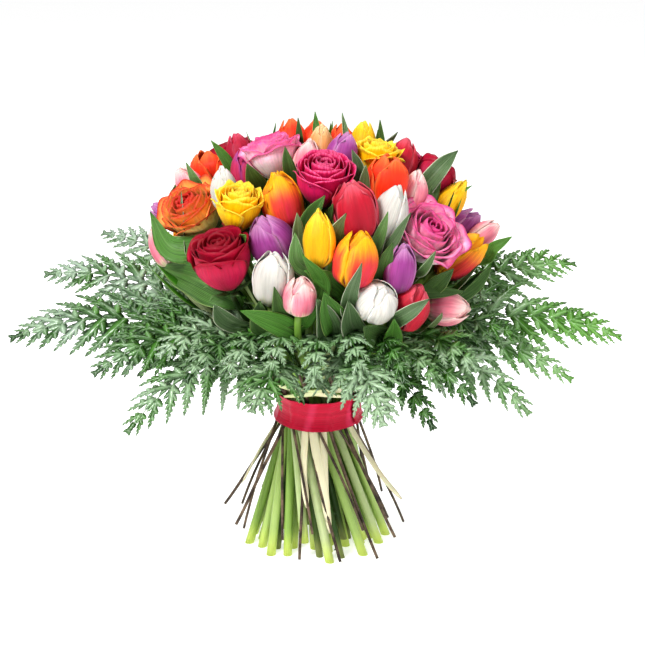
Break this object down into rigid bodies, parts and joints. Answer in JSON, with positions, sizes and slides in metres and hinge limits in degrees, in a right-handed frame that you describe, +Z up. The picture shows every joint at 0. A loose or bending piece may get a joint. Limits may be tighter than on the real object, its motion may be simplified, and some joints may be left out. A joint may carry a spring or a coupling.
{
  "type": "flower bouquet",
  "caption": "Hand-tied round bouquet of tulips and roses in a collar of fern fronds, held by a satin ribbon above spiralled, level-cut stems.",
  "frame": {"origin": "on the table under the middle of the bouquet, at the level of the cut stem ends", "axes": "+X to the bouquet's right as seen from its front, +Y from its front to its back, +Z up"},
  "size_m": [0.6083, 0.4463, 0.4325],
  "materials": {
    "rose_blush": "velvety petal",
    "rose_crimson": "velvety petal",
    "rose_magenta": "velvety petal",
    "rose_sunset": "velvety petal",
    "rose_yellow": "velvety petal",
    "tulip_coral": "soft satin petal, matt at the base",
    "tulip_crimson": "soft satin petal, matt at the base",
    "tulip_flame": "soft satin petal, matt at the base",
    "tulip_magenta": "soft satin petal, matt at the base",
    "tulip_peach": "soft satin petal, matt at the base",
    "tulip_pink": "soft satin petal, matt at the base",
    "tulip_purple": "soft satin petal, matt at the base",
    "tulip_red": "soft satin petal, matt at the base",
    "tulip_white": "soft satin petal, matt at the base",
    "tulip_yellow": "soft satin petal, matt at the base",
    "stem_and_leaf": "fresh waxy green stem and leaf",
    "fern": "leathery satin green frond",
    "ribbon_satin": "woven satin"
  },
  "bodies": {
    "root": {"tulip_pink_bud_front": "tulip_pink", "tulip_white_front_right": "tulip_white", "tulip_red_front_right": "tulip_red", "tulip_pink_low_right": "tulip_pink", "tulip_white_front_left": "tulip_white", "rose_crimson_front_left": "rose_crimson", "tulip_purple_front_right": "tulip_purple", "tulip_flame_front": "tulip_flame", "tulip_flame_right": "tulip_flame", "tulip_pink_far_left": "tulip_pink", "tulip_purple_left": "tulip_purple", "tulip_yellow_front": "tulip_yellow", "rose_blush_right": "rose_blush", "tulip_pink_behind_right": "tulip_pink", "tulip_purple_far_right": "tulip_purple", "tulip_purple_far_left": "tulip_purple", "rose_sunset_left": "rose_sunset", "tulip_white_tall_right": "tulip_white", "rose_yellow_left": "rose_yellow", "tulip_red_centre": "tulip_red", "tulip_flame_left": "tulip_flame", "tulip_yellow_right": "tulip_yellow", "tulip_pink_right": "tulip_pink", "tulip_white_left": "tulip_white", "tulip_pink_behind_left": "tulip_pink", "rose_magenta_centre": "rose_magenta", "rose_crimson_behind_right": "rose_crimson", "tulip_coral_right": "tulip_coral", "tulip_magenta_left": "tulip_magenta", "tulip_coral_left": "tulip_coral", "rose_yellow_top_right": "rose_yellow", "tulip_red_top_right": "tulip_red", "tulip_pink_top": "tulip_pink", "rose_blush_top_left": "rose_blush", "tulip_purple_top": "tulip_purple", "tulip_crimson_top_left": "tulip_crimson", "tulip_peach_top": "tulip_peach", "tulip_yellow_top_right": "tulip_yellow", "tulips_coral_top": "tulip_coral", "tulips_pink_rear_right": "tulip_pink", "tulips_yellow_rear": "tulip_yellow", "tulips_white_rear": "tulip_white", "tulips_flame_rear_left": "tulip_flame", "roses_magenta_rear_right": "rose_magenta", "tulips_purple_rear": "tulip_purple", "roses_crimson_rear_left": "rose_crimson", "stems_and_leaves": "stem_and_leaf", "fern_left": "fern", "fern_left_front": "fern", "fern_front_left": "fern", "fern_front": "fern", "fern_front_right": "fern", "fern_right_front": "fern", "fern_right": "fern", "fern_right_rear": "fern", "fern_rear": "fern", "fern_left_rear": "fern", "fern_rear_left": "fern", "ribbon": "ribbon_satin"}
  },
  "joints": []
}
